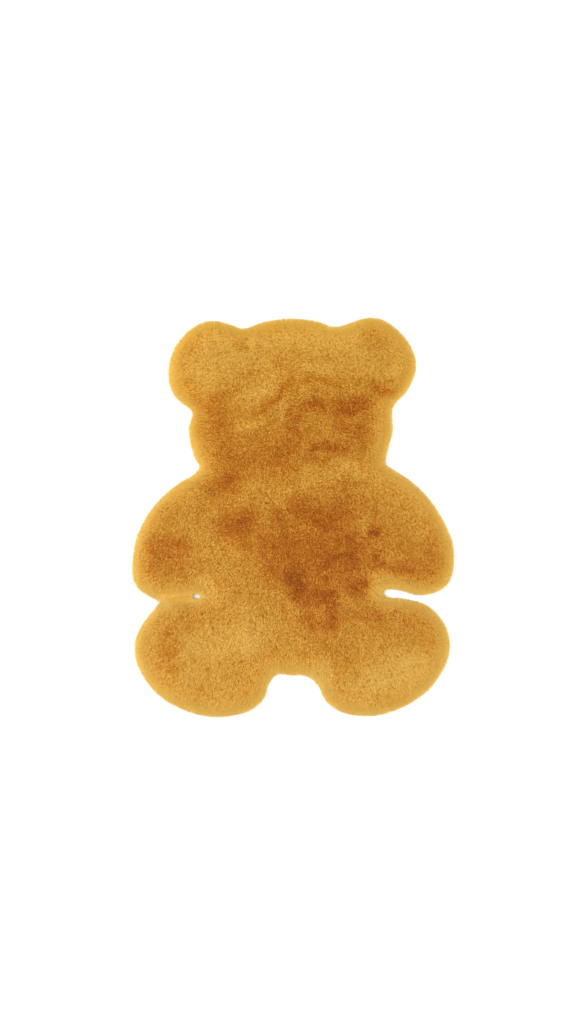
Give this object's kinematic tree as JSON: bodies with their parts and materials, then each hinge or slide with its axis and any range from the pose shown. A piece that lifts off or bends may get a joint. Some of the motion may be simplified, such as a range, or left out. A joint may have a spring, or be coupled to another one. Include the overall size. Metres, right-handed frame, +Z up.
{
  "type": "bear shaped pet rug",
  "caption": "Flat plush pet rug cut to a bear's outline, with ears, arms and legs, a rolled-over pile rim and a flat underside.",
  "frame": {"origin": "on the floor, in the middle of the rug's box", "axes": "+Z up, out of the pile; +Y from the feet to the top of the head; +X to the right of the rug seen from above"},
  "size_m": [0.604, 0.75, 0.0179],
  "materials": {
    "mustard_plush": "matt brushed plush pile about 15 mm long, mustard gold, pale where it rolls over at the rim and darker where it lies pressed"
  },
  "bodies": {
    "root": {"plush_rug": "mustard_plush"}
  },
  "joints": []
}
